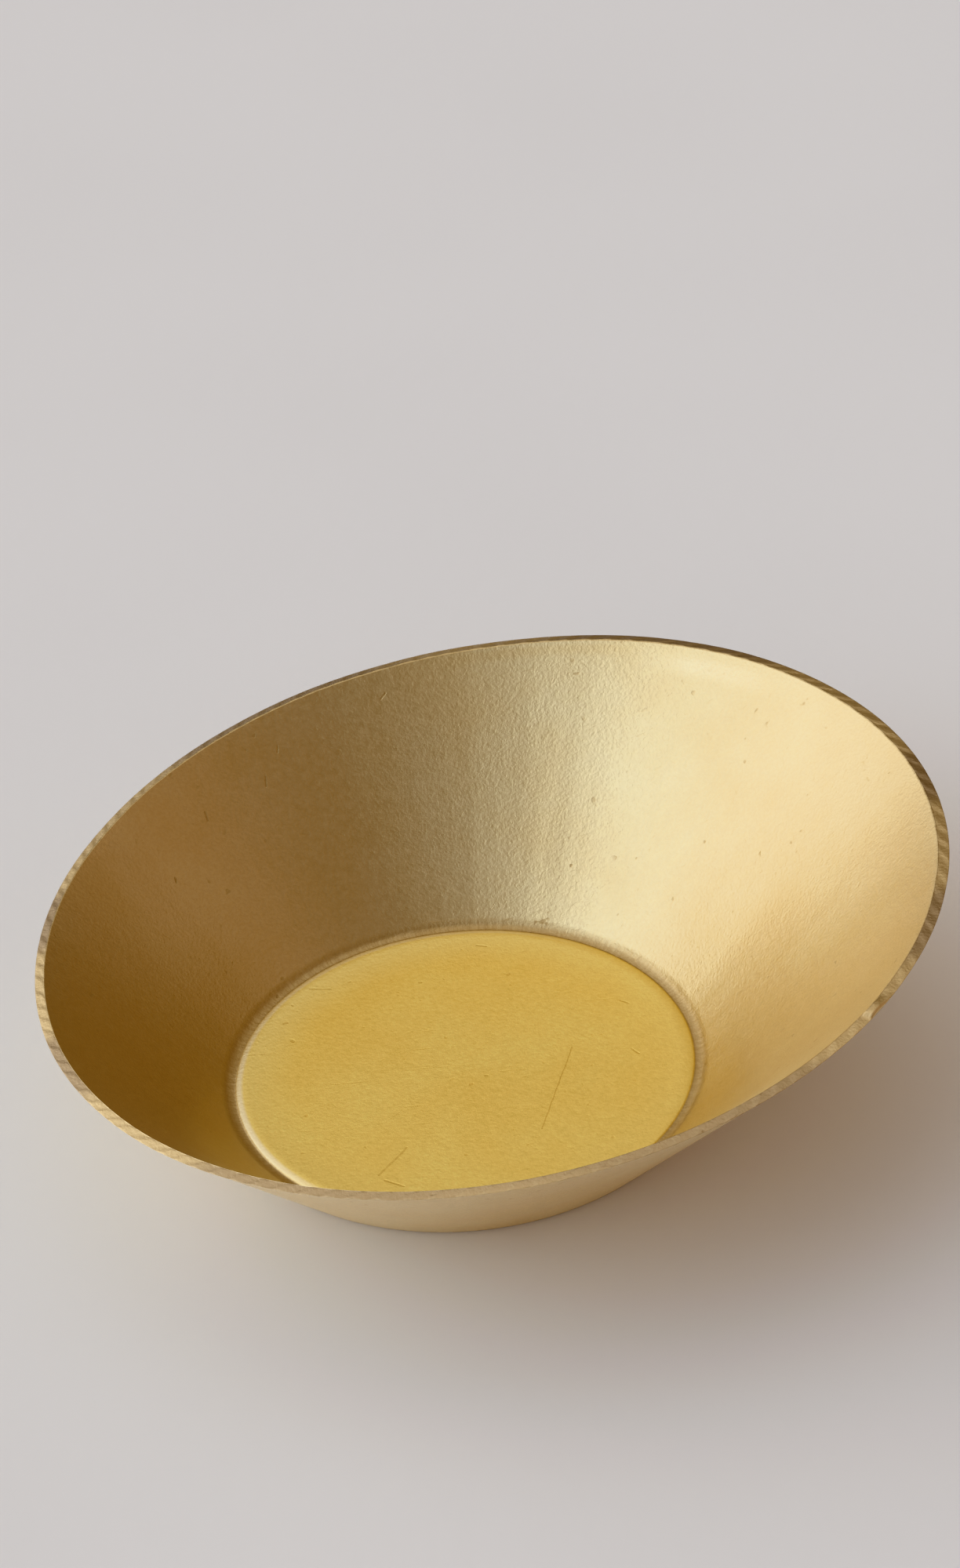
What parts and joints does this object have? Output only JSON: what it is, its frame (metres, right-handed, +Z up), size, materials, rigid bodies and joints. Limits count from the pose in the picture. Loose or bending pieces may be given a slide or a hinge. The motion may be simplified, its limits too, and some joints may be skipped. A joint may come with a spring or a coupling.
{
  "type": "drawn brass cup",
  "caption": "Small open cup of thin raw brass with a flat floor and a straight flared wall, for holding small things such as beads or wax.",
  "frame": {"origin": "centre of the base, on the surface that the cup stands on", "axes": "+Z up along the cup's axis, +X towards the high side of the rim"},
  "size_m": [0.0302, 0.0302, 0.0088],
  "materials": {
    "raw_brass": "satin, tumbled, unpolished"
  },
  "bodies": {
    "root": {"cup": "raw_brass"}
  },
  "joints": []
}
